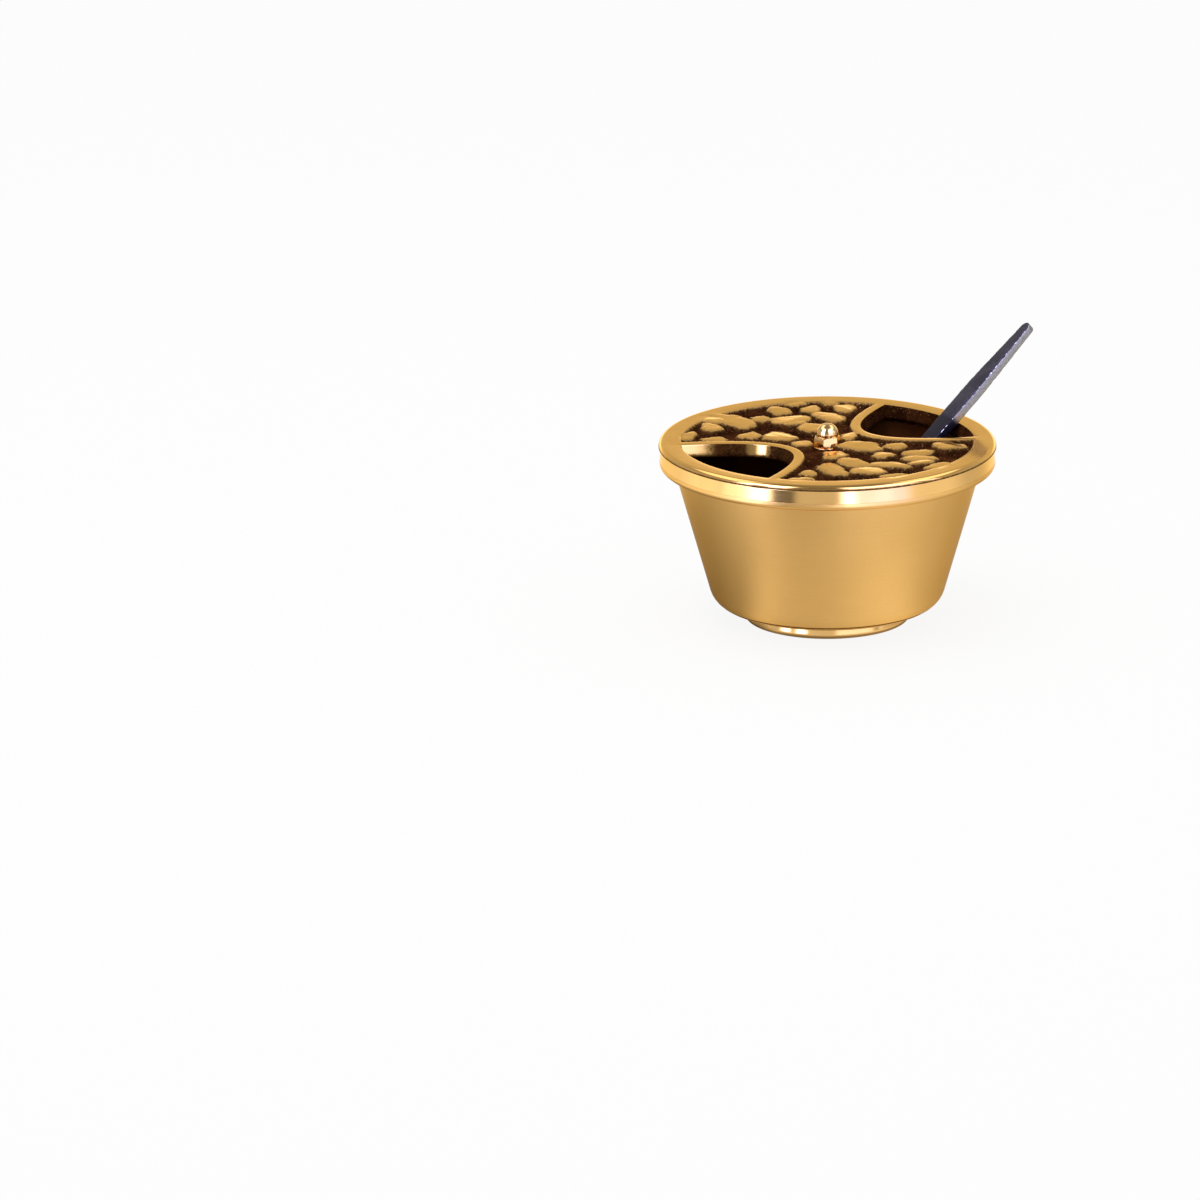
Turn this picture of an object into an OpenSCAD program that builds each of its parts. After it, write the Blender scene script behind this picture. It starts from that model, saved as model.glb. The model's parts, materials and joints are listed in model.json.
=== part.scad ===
// Round incense boat: a tapered brass bowl on a foot ring, a cast lid with two
// openings and a nugget relief, and a spoon that leans out through one opening.
// Millimetres, +Z up, origin on the table in the middle of the foot ring.

/* [Foot] */
// Outer radius of the foot ring
foot_r = 25.1; // [18:0.1:27]
// Radial width of the foot ring
foot_w = 3.4; // [2.4:0.1:8]
// Height of the foot ring under the bowl
foot_h = 4.4; // [2.6:0.1:9]
// Height of the narrow neck between the foot ring and the bowl
foot_neck_h = 0.7; // [0.4:0.1:0.7]
// How far the neck is set in from the foot ring's outside
foot_neck_in = 0.7; // [0.3:0.1:1]
// Rounding of the foot ring's outer edges
foot_round = 0.5; // [0.2:0.1:0.9]

/* [Bowl] */
// Height of the bowl from its underside to the top of its rim flange
bowl_h = 45.4; // [34:0.1:70]
// Outer radius of the wall under the flange
wall_top_r = 46.4; // [40:0.1:46.6]
// Outer radius where the wall would meet the underside if it were not rounded
wall_base_r = 34.1; // [33:0.1:38]
// Outer radius of the rounded shoulder between wall and underside
shoulder_r = 7; // [3:0.1:7.5]
// Thickness of the wall
wall_t = 1.4; // [0.8:0.1:2.2]
// Thickness of the floor
floor_t = 1.6; // [0.8:0.1:4]
// Outer radius of the rim flange
flange_r = 50.7; // [50:0.1:54]
// Thickness of the rim flange
flange_t = 2.3; // [1:0.1:4]

/* [Rim band] */
// Height of the polished band on the flange
band_h = 3.7; // [2:0.1:8]
// Radial width of the band at its base
band_w = 2.7; // [1.5:0.1:3.2]
// How far the band leans in towards its top
band_lean = 0.4; // [0:0.1:0.8]

/* [Lid] */
// How far the lid stands out past the flange and its band
lid_over = 0.3; // [0:0.1:1]
// Thickness of the lid at its edge
lid_edge_t = 1.7; // [1.7:0.1:4]
// Rounding of the lid's upper edge
lid_round = 1.4; // [0.3:0.1:1.6]
// How far the lid's plug reaches down into the band
plug_h = 2.5; // [1.4:0.1:3.4]
// Radial clearance between the plug and the band
plug_gap = 0.4; // [0.2:0.1:0.8]
// Gap between the lid and the band that it sits on
seat_gap = 0.3; // [0.1:0.1:0.6]
// Width of the flat ring round the top of the lid
ring_w = 6.8; // [5:0.1:9]
// Depth of the relief below the flat ring
relief_d = 2.2; // [1:0.1:2.4]

/* [Openings] */
// Direction of the openings' middle line, from +X
opening_turn = 36.5; // [0:0.5:60]
// Distance from the axis to the inner end of each opening
opening_start = 15.9; // [13:0.1:19]
// Half the width of each opening where it meets the flat ring
opening_half_w = 22; // [16:0.1:24]
// Width of the flat border round each opening
border_w = 3.4; // [2:0.1:4.5]

/* [Cap nut and screw] */
// Diameter of the screw's shank
screw_d = 4; // [3:0.1:4.6]
// Clearance of the lid's hole round the shank
screw_gap = 0.15; // [0.05:0.05:0.3]
// Diameter of the screw's pan head
screw_head_d = 8; // [7:0.1:9]
// Height of the screw's pan head
screw_head_h = 2.6; // [1.6:0.1:3.6]
// Outer diameter of the washer
washer_d = 9.4; // [8.6:0.1:11]
// Thickness of the washer
washer_t = 0.6; // [0.4:0.1:1.2]
// Width of the nut across its flats
nut_flats = 7.9; // [6.5:0.1:8]
// Direction of one of the nut's corners, from +X
nut_turn = 14.5; // [0:0.5:60]
// Height of the nut's hexagon
nut_hex_h = 3; // [2:0.1:4.5]
// Height of the whole nut
nut_h = 6.9; // [6.2:0.1:9]
// Thickness of the dome over the end of the screw
nut_crown = 1.3; // [0.8:0.1:2]

/* [Spoon] */
// Direction in which the spoon leans, from +X
spoon_turn = 29.5; // [20:0.5:45]
// Rise of the handle above level
spoon_tilt = 42.5; // [38:0.5:46]
// Gap between the handle and the edge that it leans on
lean_gap = 0.4; // [0.2:0.1:0.8]
// Gap between the spoon's dish and the bowl's floor
floor_gap = 0.3; // [0.1:0.1:0.6]
// Length of the handle beyond the edge that it leans on
spoon_reach = 37.5; // [25:0.5:60]
// Width of the handle at the lid
handle_w = 7.1; // [5:0.1:8]
// Thickness of the handle at the lid
handle_t = 2.7; // [1.6:0.1:3]
// Width of the handle at its free end
handle_end_w = 3.9; // [3:0.1:5]
// Thickness of the handle at its free end
handle_end_t = 2.4; // [1:0.1:2.6]
// Length over which the handle tapers towards its free end
handle_taper = 25; // [10:0.5:25]
// Radius of the dish at its rim
dish_r = 8.2; // [6:0.1:9.5]
// Depth of the dish, outside
dish_d = 4.6; // [4.2:0.1:6]
// Thickness of the dish
dish_t = 1; // [0.6:0.1:1.4]
// Width of the tang that joins the dish to the handle
tang_w = 5; // [4:0.1:5]
// Thickness of the tang
tang_t = 1.1; // [0.8:0.1:1.5]
// Length of the tang on the handle
tang_l = 14; // [10:0.5:20]
// Gap between the dish and the end of the handle
dish_gap = 0.8; // [0.4:0.1:2]
// Diameter of the rivets
rivet_d = 2; // [1.4:0.1:2.4]
// Diameter of the rivets' heads
rivet_head_d = 3.4; // [2.8:0.1:3.8]
// Height of the rivets' heads
rivet_head_h = 0.8; // [0.5:0.1:1.2]

/* [Hidden] */
$fn = 96;

// Heights, from the table up
floor_z = foot_h + floor_t;
flange_top = foot_h + bowl_h;
flange_low = flange_top - flange_t;
seat_z = flange_top + band_h + seat_gap;
lid_top = seat_z + lid_edge_t;
plug_low = seat_z - plug_h;
relief_z = lid_top - relief_d;
nut_z = relief_z + washer_t;
screw_top = nut_z + nut_h - nut_crown;

// Radii that follow from the fits
plug_r = flange_r - band_w - plug_gap;
lid_r = flange_r + lid_over;
field_r = lid_r - ring_w;
hole_r = screw_d / 2 + screw_gap;
hub_r = washer_d / 2 + 0.4;
nut_dome_r = nut_flats / 2 - 0.5;

// Slope of the wall, as an angle from upright
wall_lean = atan((wall_top_r - wall_base_r) / (flange_low - foot_h));

// The opening's inner edge is a parabola through the tips on the flat ring
tip_x = sqrt(field_r ^ 2 - opening_half_w ^ 2);
bend = (tip_x - opening_start) / opening_half_w ^ 2;
edge_steps = 20;

// Nuggets: distance out as a share of the field, direction, length, width and turn
nuggets = [
    [0.85, 113, 7, 6, 95], [0.82, 98, 6.5, 5.5, 80], [0.86, 82, 8.5, 6.5, 85],
    [0.98, 103, 5, 3, 15], [0.98, 89, 4, 3, 0], [0.63, 89, 13, 6.5, -45],
    [0.6, 115, 12.5, 9, 0], [0.73, 129, 5.5, 4, 10], [0.83, 141, 17, 8, -55],
    [0.98, 145, 11, 7, -40],
    [0.87, 156, 7.5, 6, 100], [0.96, 172, 7, 3.5, 80], [0.36, 105, 9, 8, 60],
    [0.35, 159, 11.5, 7.5, -45], [0.55, 165, 6.5, 5, -30], [0.77, 177, 7, 3.5, 0],
    [0.17, 197, 6, 6, 0], [0.2, 42, 8, 4, 75], [0.25, 333, 12, 9, -10],
    [0.48, 346, 6, 5, 20], [0.84, 353, 9.5, 7, 10], [0.51, 318, 7, 4.5, 40],
    [0.68, 335, 9, 4.5, 0], [0.75, 326, 9.5, 4.5, 5], [0.82, 321, 6.5, 4, 15], [0.97, 321, 8, 4.5, 45],
    [0.56, 288, 9.5, 7, -30], [0.72, 306, 12, 4.5, -15], [0.78, 291, 10.5, 7, 20],
    [0.7, 273, 14, 5, -65], [0.81, 261, 5, 3.5, 80], [0.34, 278, 9, 6, 60],
    [0.96, 259, 6, 3, -10], [0.97, 297, 7, 3, 25]
];
nugget_sides = 14;

// The spoon's own frame: x up the handle from the edge, z off its underside
dish_ball = (dish_r ^ 2 + dish_d ^ 2) / (2 * dish_d);
dish_rise = floor_z + floor_gap + dish_ball - lid_top;
dish_x = (dish_rise - (lean_gap + dish_ball) * cos(spoon_tilt)) / sin(spoon_tilt);
handle_x = dish_x + dish_r + dish_gap;
rivet_places = [handle_x + tang_l * 0.28, handle_x + tang_l * 0.72];

brass = "goldenrod";
bright = "gold";
patina = "darkgoldenrod";
dark = "darkslateblue";

// Half section of a ring with both outer edges rounded
module round_edged(inside, outside, low, high, round) {
    translate([inside, low]) square([outside - round - inside, high - low]);
    translate([inside, low + round]) square([outside - inside, high - low - 2 * round]);
    for (z = [low + round, high - round]) translate([outside - round, z]) circle(r = round);
}

// Half section of a tapered cup, solid from the axis to its wall
module cup_section(base, low, high, round) {
    reach = round * tan((90 - wall_lean) / 2);
    polygon([
        [0, low],
        [base - reach, low],
        [base + reach * sin(wall_lean), low + reach * cos(wall_lean)],
        [base + (high - low) * tan(wall_lean), high],
        [0, high]
    ]);
    translate([base - reach, low + round]) circle(r = round);
}

module bowl_shell() {
    over = 1;
    inner_base = wall_base_r + floor_t * tan(wall_lean) - wall_t / cos(wall_lean);
    color(brass)
    difference() {
        union() {
            rotate_extrude() intersection() {
                cup_section(wall_base_r, foot_h, flange_top, shoulder_r);
                square([flange_r, flange_top]);
            }
            translate([0, 0, flange_low]) cylinder(r = flange_r, h = flange_t);
        }
        rotate_extrude() intersection() {
            cup_section(inner_base, floor_z, flange_top + over, shoulder_r - wall_t);
            square([flange_r, flange_top + over]);
        }
    }
}

module foot_ring() {
    inside = foot_r - foot_w;
    color(bright)
    rotate_extrude() {
        round_edged(inside, foot_r, 0, foot_h - foot_neck_h, foot_round);
        translate([inside, 0]) square([foot_w - foot_neck_in, foot_h]);
    }
}

module rim_band() {
    inside = flange_r - band_w;
    color(bright)
    translate([0, 0, flange_top])
    rotate_extrude()
    polygon([
        [inside, 0],
        [flange_r, 0],
        [flange_r - band_lean, band_h],
        [inside, band_h]
    ]);
}

// A point on an opening's inner edge, moved out by a border's width
function edge_point(across, out) =
    let (slope = 2 * bend * across, size = sqrt(1 + slope ^ 2))
    [opening_start + bend * across ^ 2 - out / size, across + out * slope / size];

// Everything on the ring's side of an opening's edge
module opening_area(out) {
    far = opening_half_w * 1.15;
    polygon([for (i = [-edge_steps : edge_steps]) edge_point(far * i / edge_steps, out)]);
}

// A lumpy rounded outline, different for each number
function nugget_point(size, number, angle) =
    let (lump = 1 + 0.1 * sin(2 * angle + 47 * number) + 0.08 * sin(3 * angle + 113 * number)
         + 0.05 * sin(5 * angle + 71 * number))
    [size[2] / 2 * lump * cos(angle), size[3] / 2 * lump * sin(angle)];

module nugget(number) {
    size = nuggets[number];
    step = 360 / nugget_sides;
    rotate(size[1]) translate([size[0] * field_r, 0]) rotate(size[4] - size[1])
    polygon([for (i = [0 : nugget_sides - 1]) nugget_point(size, number, i * step)]);
}

// The sunk field between the ring, the borders and the nuggets
module relief_cut() {
    over = 1;
    difference() {
        translate([0, 0, relief_z]) cylinder(r = field_r, h = relief_d + over);
        for (side = [0, 180]) rotate(opening_turn + side)
            translate([0, 0, relief_z - over]) linear_extrude(relief_d + 3 * over) opening_area(border_w);
        difference() {
            for (i = [0 : len(nuggets) - 1])
                translate([0, 0, relief_z - over]) linear_extrude(relief_d + 3 * over) nugget(i);
            translate([0, 0, relief_z - 2 * over]) cylinder(r = hub_r, h = relief_d + 5 * over);
        }
    }
}

module opening_cut() {
    over = 1;
    tall = lid_top - plug_low + 2 * over;
    intersection() {
        translate([0, 0, plug_low - over]) linear_extrude(tall) opening_area(0);
        translate([0, 0, plug_low - over]) cylinder(r = field_r, h = tall);
    }
}

module lid_casting() {
    over = 1;
    color(patina)
    difference() {
        union() {
            rotate_extrude() {
                translate([0, seat_z]) square([lid_r - lid_round, lid_edge_t]);
                translate([0, seat_z]) square([lid_r, lid_edge_t - lid_round]);
                translate([lid_r - lid_round, lid_top - lid_round]) intersection() {
                    circle(r = lid_round);
                    square(lid_round);
                }
            }
            translate([0, 0, plug_low]) cylinder(r = plug_r, h = plug_h + lid_edge_t / 2);
        }
        relief_cut();
        for (side = [0, 180]) rotate(opening_turn + side) opening_cut();
        translate([0, 0, plug_low - over]) cylinder(r = hole_r, h = lid_top - plug_low + 2 * over);
    }
}

module lid_screw() {
    color(brass) {
        translate([0, 0, plug_low]) cylinder(d = screw_d, h = screw_top - plug_low);
        translate([0, 0, plug_low - screw_head_h]) cylinder(d = screw_head_d, h = screw_head_h);
    }
}

module lid_washer() {
    color(bright)
    translate([0, 0, relief_z])
    difference() {
        cylinder(d = washer_d, h = washer_t);
        translate([0, 0, -washer_t]) cylinder(r = hole_r, h = 3 * washer_t);
    }
}

module cap_nut() {
    dome_z = nut_h - nut_dome_r;
    over = 1;
    color(bright)
    translate([0, 0, nut_z])
    difference() {
        union() {
            rotate(nut_turn) cylinder(d = nut_flats / cos(30), h = nut_hex_h, $fn = 6);
            cylinder(r = nut_dome_r, h = dome_z);
            translate([0, 0, dome_z]) sphere(r = nut_dome_r);
        }
        translate([0, 0, -over]) cylinder(d = screw_d, h = nut_h - nut_crown + over);
        translate([0, 0, -nut_h]) cylinder(r = nut_flats, h = nut_h);
    }
}

// Puts a piece that is drawn in the spoon's own frame into the boat
module in_boat() {
    rotate(spoon_turn)
    translate([field_r, 0, lid_top])
    rotate([0, -spoon_tilt, 0])
    translate([0, 0, lean_gap])
    children();
}

module spoon_dish() {
    tang_end = handle_x + tang_l;
    color(brass) in_boat()
    difference() {
        union() {
            intersection() {
                translate([dish_x, 0, dish_ball]) sphere(r = dish_ball);
                translate([dish_x - dish_r * 2, -dish_r * 2, -dish_d]) cube([dish_r * 4, dish_r * 4, dish_d * 2]);
            }
            translate([dish_x, -tang_w / 2, handle_t]) cube([tang_end - dish_x, tang_w, tang_t]);
        }
        translate([dish_x, 0, dish_ball]) sphere(r = dish_ball - dish_t);
        for (x = rivet_places) translate([x, 0, 0]) cylinder(d = rivet_d, h = handle_t + 2 * tang_t);
    }
}

module spoon_handle() {
    end_r = handle_end_w / 2;
    taper_x = spoon_reach - handle_taper;
    color(dark) in_boat()
    difference() {
        intersection() {
            linear_extrude(handle_t) {
                polygon([
                    [handle_x, -handle_w / 2],
                    [taper_x, -handle_w / 2],
                    [spoon_reach - end_r, -end_r],
                    [spoon_reach - end_r, end_r],
                    [taper_x, handle_w / 2],
                    [handle_x, handle_w / 2]
                ]);
                translate([spoon_reach - end_r, 0]) circle(r = end_r);
            }
            rotate([90, 0, 0]) translate([0, 0, -handle_w]) linear_extrude(2 * handle_w)
            polygon([
                [handle_x, 0],
                [spoon_reach, 0],
                [spoon_reach, handle_end_t],
                [taper_x, handle_t],
                [handle_x, handle_t]
            ]);
        }
        for (x = rivet_places) translate([x, 0, -handle_t]) cylinder(d = rivet_d, h = 3 * handle_t);
    }
}

module spoon_rivets() {
    shank_h = handle_t + tang_t;
    head_ball = (rivet_head_d ^ 2 / 4 + rivet_head_h ^ 2) / (2 * rivet_head_h);
    color(bright) in_boat()
    for (x = rivet_places) translate([x, 0, 0]) {
        cylinder(d = rivet_d, h = shank_h);
        translate([0, 0, shank_h]) intersection() {
            translate([0, 0, rivet_head_h - head_ball]) sphere(r = head_ball);
            cylinder(d = rivet_head_d, h = rivet_head_h);
        }
    }
}

bowl_shell();
foot_ring();
rim_band();
lid_casting();
lid_screw();
lid_washer();
cap_nut();
spoon_dish();
spoon_handle();
spoon_rivets();
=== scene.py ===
import json
import math

import bmesh
import bpy
import numpy as np
from mathutils import Matrix, Vector, geometry, noise


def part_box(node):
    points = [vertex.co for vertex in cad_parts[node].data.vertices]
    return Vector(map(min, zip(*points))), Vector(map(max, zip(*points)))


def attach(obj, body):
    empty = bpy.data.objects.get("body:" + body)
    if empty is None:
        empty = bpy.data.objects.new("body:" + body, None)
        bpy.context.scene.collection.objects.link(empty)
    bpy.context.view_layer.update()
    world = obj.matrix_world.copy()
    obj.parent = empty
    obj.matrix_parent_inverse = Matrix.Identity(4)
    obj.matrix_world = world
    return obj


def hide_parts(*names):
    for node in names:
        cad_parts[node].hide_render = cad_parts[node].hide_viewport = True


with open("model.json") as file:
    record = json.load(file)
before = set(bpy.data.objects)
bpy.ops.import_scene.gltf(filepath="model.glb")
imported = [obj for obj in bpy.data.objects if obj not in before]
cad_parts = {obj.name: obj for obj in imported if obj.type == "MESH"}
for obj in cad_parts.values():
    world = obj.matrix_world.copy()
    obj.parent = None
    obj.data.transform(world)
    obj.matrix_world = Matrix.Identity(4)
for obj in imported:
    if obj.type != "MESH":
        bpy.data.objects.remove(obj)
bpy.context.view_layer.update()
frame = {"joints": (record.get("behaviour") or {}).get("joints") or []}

# Foot ring: a brass ring turned with a round shoulder and a narrow neck, polished bright. It is
# soldered under the bowl and lifts it a little off the table. The corner by the neck is painted brown as
# painted shade.
mm = 0.001
foot_low, foot_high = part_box("foot_ring")
foot_r, foot_h = foot_high.y / mm, foot_high.z / mm
foot_inside, foot_neck_r, foot_neck_h = foot_r - 3.4, foot_r - 0.7, 0.7


class Value:
    """A node's output. Python sums on it add Math nodes, and node() adds any other node."""

    def __init__(self, tree, socket=None):
        self.tree, self.socket = tree, socket

    def node(self, kind, sockets=None, out=0, **settings):
        made = self.tree.nodes.new(kind)
        for name, setting in settings.items():
            setattr(made, name, setting)
        for key, given in (sockets or {}).items():
            if isinstance(given, Value):
                self.tree.links.new(given.socket, made.inputs[key])
            elif given is not None:
                made.inputs[key].default_value = given
        return Value(self.tree, made.outputs[out])

    def maths(self, operation, *values, **settings):
        return self.node("ShaderNodeMath", dict(enumerate(values)), operation=operation, **settings)

    def __add__(self, other):
        return self.maths("ADD", self, other)

    def __sub__(self, other):
        return self.maths("SUBTRACT", self, other)

    def __rsub__(self, other):
        return self.maths("SUBTRACT", other, self)

    def __mul__(self, other):
        return self.maths("MULTIPLY", self, other)

    __radd__, __rmul__ = __add__, __mul__

    def rise(self, low, high):
        """0 below low, 1 above high, and a smooth step between them."""
        return self.node("ShaderNodeMapRange", {"Value": self, "From Min": low, "From Max": high},
                         interpolation_type="SMOOTHSTEP")

    def between(self, start, end, soft):
        """1 between start and end, falling to 0 over twice the softness at either side."""
        return self.rise(start - soft, start + soft) * (1 - self.rise(end - soft, end + soft))

    def blend(self, first, second):
        """The first colour at 0 and the second at 1."""
        colours = [c if isinstance(c, Value) else (*c, 1) for c in (first, second)]
        return self.node("ShaderNodeMix", {0: self, 6: colours[0], 7: colours[1]}, out=2, data_type="RGBA")

    def scaled(self, strength):
        """A colour made stronger or weaker."""
        return self.node("ShaderNodeVectorMath", {0: self, "Scale": strength}, operation="SCALE")

    def parts(self):
        """A vector's x, y and z."""
        split = self.node("ShaderNodeSeparateXYZ", {0: self})
        return [Value(self.tree, socket) for socket in split.socket.node.outputs]

    def vector(self, x, y, z):
        return self.node("ShaderNodeCombineXYZ", {0: x, 1: y, 2: z})

    def speckle(self, scale, detail=2.0, rough=0.5):
        """Noise over a place, from 0 to 1."""
        return self.node("ShaderNodeTexNoise", {
            "Vector": self, "Scale": scale, "Detail": detail, "Roughness": rough})

    def bump(self, strength, distance, height):
        return self.node("ShaderNodeBump", {"Strength": strength, "Distance": distance, "Height": height})


def new_finish(name, **constants):
    """A material, its shader with the constants set, and the place on the piece."""
    material = bpy.data.materials.new(name)
    material.use_nodes = True
    shader = material.node_tree.nodes["Principled BSDF"]
    for key, constant in constants.items():
        shader.inputs[key.replace("_", " ")].default_value = constant
    return material, shader, Value(material.node_tree).node("ShaderNodeTexCoord", out="Object")


def feed(shader, key, value):
    shader.id_data.links.new(value.socket, shader.inputs[key])


def lathe_lines(place, fine):
    """Fine rings left by turning or brushing: noise drawn out along the way round the axis."""
    x, y, z = place.parts()
    radius = place.maths("SQRT", x * x + y * y)
    return place.vector(x * 30, y * 30, (z + radius) * fine).speckle(1.0, 3.0, 0.6)


def polished_brass(name, light, deep):
    material, shader, place = new_finish(name, Metallic=1.0, Specular_Tint=(1.0, 0.8, 0.5, 1))
    lines = lathe_lines(place, 2600)
    cloud = place.speckle(60, 3.0)
    gold = cloud.rise(0.3, 0.75).blend(light, deep)
    # Painted shade: the corner by the foot's neck is painted dark brown and made rougher.
    corner = place.parts()[2].between((foot_h - 0.95) * mm, foot_h * mm, 0.00015)
    feed(shader, "Base Color", (0.85 * corner).blend(gold, (0.16, 0.06, 0.015)))
    feed(shader, "Roughness", 0.08 + 0.06 * lines + 0.04 * cloud + 0.15 * corner)
    feed(shader, "Normal", place.bump(0.06, 0.00006, lines))
    return material


def rounded(corners):
    """A turned outline from (radius, height, rounding) corners: roundings become arcs, and each
    straight run has a point near both ends, so that it shades flat."""
    points = []
    for i, (radius, height, rounding) in enumerate(corners):
        corner = Vector((radius, height))
        if not rounding:
            points.append(corner)
            continue
        back = (Vector(corners[i - 1][:2]) - corner).normalized()
        on = (Vector(corners[(i + 1) % len(corners)][:2]) - corner).normalized()
        half = back.angle(on) / 2
        middle = corner + (back + on).normalized() * rounding / math.sin(half)
        start = corner + back * rounding / math.tan(half) - middle
        end = corner + on * rounding / math.tan(half) - middle
        sweep = math.pi - 2 * half
        for k in range(9):
            t = k / 8 * sweep
            points.append(middle + (start * math.sin(sweep - t) + end * math.sin(t)) / math.sin(sweep))
    held = []
    hold = 0.12
    for here, after in zip(points, points[1:] + points[:1]):
        held.append(here)
        run = after - here
        if run.length > 5 * hold:
            held += [here + run.normalized() * hold, after - run.normalized() * hold]
    return held


def new_tree(name, inputs):
    """An empty geometry tree that gives a piece, and its inputs."""
    tree = bpy.data.node_groups.new(name, "GeometryNodeTree")
    for key, kind in inputs.items():
        tree.interface.new_socket(key, in_out="INPUT", socket_type="NodeSocket" + kind)
    tree.interface.new_socket("Piece", in_out="OUTPUT", socket_type="NodeSocketGeometry")
    given = tree.nodes.new("NodeGroupInput")
    return tree, [Value(tree, given.outputs[key]) for key in inputs]


def turned_tree():
    """Sweeps an outline round the axis: a circle of the spindle's radius carries it as its profile."""
    tree, (outline, steps, spindle, finish) = new_tree("turned_piece", {
        "Outline": "Geometry", "Steps Round": "Int", "Spindle": "Float", "Finish": "Material"})
    start = Value(tree)
    profile = start.node("GeometryNodeMeshToCurve", {"Mesh": outline})
    circle = start.node("GeometryNodeCurvePrimitiveCircle", {"Resolution": steps, "Radius": spindle})
    upright = start.node("GeometryNodeSetCurveNormal", {"Curve": circle}, mode="Z_UP")
    swept = start.node("GeometryNodeCurveToMesh", {"Curve": upright, "Profile Curve": profile})
    closed = start.node("GeometryNodeMergeByDistance", {"Geometry": swept, "Distance": 1e-6})
    smooth = start.node("GeometryNodeSetShadeSmooth", {"Geometry": closed})
    real = start.node("GeometryNodeRealizeInstances", {"Geometry": smooth})
    done = start.node("GeometryNodeSetMaterial", {"Geometry": real, "Material": finish})
    tree.links.new(done.socket, tree.nodes.new("NodeGroupOutput").inputs["Piece"])
    return tree


def add_piece(name, mesh):
    piece = bpy.data.objects.new(name, mesh)
    bpy.context.scene.collection.objects.link(piece)
    return piece


def run_tree(piece, tree, **inputs):
    """Runs a tree on a piece with its named inputs, and leaves a plain mesh with its faces outwards."""
    step = piece.modifiers.new(tree.name, "NODES")
    step.node_group = tree
    for socket in tree.interface.items_tree:
        if socket.name.replace(" ", "_") in inputs:
            step[socket.identifier] = inputs[socket.name.replace(" ", "_")]
    bpy.context.view_layer.update()
    piece.data = bpy.data.meshes.new_from_object(piece.evaluated_get(bpy.context.evaluated_depsgraph_get()))
    piece.modifiers.clear()
    outwards(piece)
    return piece


def outwards(piece):
    form = bmesh.new()
    form.from_mesh(piece.data)
    bmesh.ops.recalc_face_normals(form, faces=form.faces)
    form.to_mesh(piece.data)
    form.free()


spindle = 1.0
turning = turned_tree()


def turn(name, outline, finish, closed=True, steps=192):
    """A turned piece from its outline in mm, closed as a ring or open from axis to axis."""
    count = len(outline)
    edges = [(i, (i + 1) % count) for i in range(count if closed else count - 1)]
    mesh = bpy.data.meshes.new(name)
    mesh.from_pydata([((p.x - spindle) * mm, -p.y * mm, 0) for p in outline], edges, [])
    return run_tree(add_piece(name, mesh), turning, Steps_Round=steps, Spindle=spindle * mm, Finish=finish)


bright_brass = polished_brass("polished_brass", (0.87, 0.53, 0.19), (0.82, 0.48, 0.16))
foot = turn("turned_foot", rounded([
    (foot_inside, 0, 0.3), (foot_r + 0.2, 0, 1.3), (foot_r - 0.5, foot_h - foot_neck_h, 0.7),
    (foot_neck_r, foot_h - foot_neck_h, 0.2), (foot_neck_r, foot_h, 0), (foot_inside, foot_h, 0),
]), bright_brass)
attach(foot, "bowl")
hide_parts("foot_ring")

# Bowl: one sheet of brass spun to a cone with a round bottom and a flange turned out at the rim,
# brushed round to a satin outside. The inside is left as spun and painted dark brown as painted shade under
# the lid.
bowl_low, bowl_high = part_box("bowl_shell")
bowl_base, rim_z, flange_r = bowl_low.z / mm, bowl_high.z / mm, bowl_high.y / mm
flange_low, wall_top_r, wall_base_r = rim_z - 2.3, 46.4, 34.1
floor_z, wall_t, bottom_round = bowl_base + 1.6, 1.4, 7.0
wall_slope = (wall_top_r - wall_base_r) / (flange_low - bowl_base)
inner_base_r = wall_base_r + (floor_z - bowl_base) * wall_slope - wall_t * math.hypot(1, wall_slope)
inner_top_r = inner_base_r + (rim_z - floor_z) * wall_slope


def satin_brass(name, shaded_inside):
    material, shader, place = new_finish(name, Specular_Tint=(1.0, 0.78, 0.48, 1), Specular_IOR_Level=0.0)
    x, y, z = place.parts()
    lines = lathe_lines(place, 5200)
    grain = place.speckle(2800, 2.0, 0.6)
    cloud = place.speckle(45, 4.0)
    mottle = (0.35 * cloud + 0.25 * lines + 0.4 * grain).rise(0.3, 0.7)
    gold = mottle.blend((0.77, 0.44, 0.13), (0.84, 0.5, 0.16))
    feed(shader, "Normal", place.bump(0.22, 0.00008, 0.3 * lines + 0.7 * grain))
    if not shaded_inside:
        shader.inputs["Metallic"].default_value = 1.0
        feed(shader, "Base Color", gold)
        feed(shader, "Roughness", 0.27 + 0.07 * lines + 0.06 * grain)
        return material
    radius = place.maths("SQRT", x * x + y * y)
    above = z.rise((bowl_base + 1.0) * mm, (bowl_base + 1.5) * mm)
    wall_inside = (radius - wall_slope * z).rise((wall_base_r - 2.6) * mm, (wall_base_r - 2.2) * mm)
    # Painted shade: the bowl's inside, under the lid, is painted a dark matt brown.
    painted_inner_shade = above * (1 - wall_inside) * (rim_z * mm - z).rise(-0.0001, 0.0)
    inner_shade_brown = cloud.rise(0.3, 0.7).blend((0.08, 0.022, 0.007), (0.16, 0.055, 0.016))
    feed(shader, "Base Color", painted_inner_shade.blend(gold, inner_shade_brown))
    feed(shader, "Metallic", 1 - 0.97 * painted_inner_shade)
    feed(shader, "Roughness", 0.27 + 0.07 * lines + 0.06 * grain + 0.15 * painted_inner_shade)
    return material


brushed_brass = satin_brass("satin_brass", True)
bowl = turn("spun_bowl", rounded([
    (0, bowl_base, 0), (wall_base_r, bowl_base, bottom_round), (wall_top_r, flange_low, 0.5),
    (flange_r, flange_low, 1.5), (flange_r, rim_z, 0.05), (inner_top_r, rim_z, 0.3),
    (inner_base_r, floor_z, bottom_round - wall_t), (0, floor_z, 0)])[:-2], brushed_brass, closed=False)
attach(bowl, "bowl")
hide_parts("bowl_shell")

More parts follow.
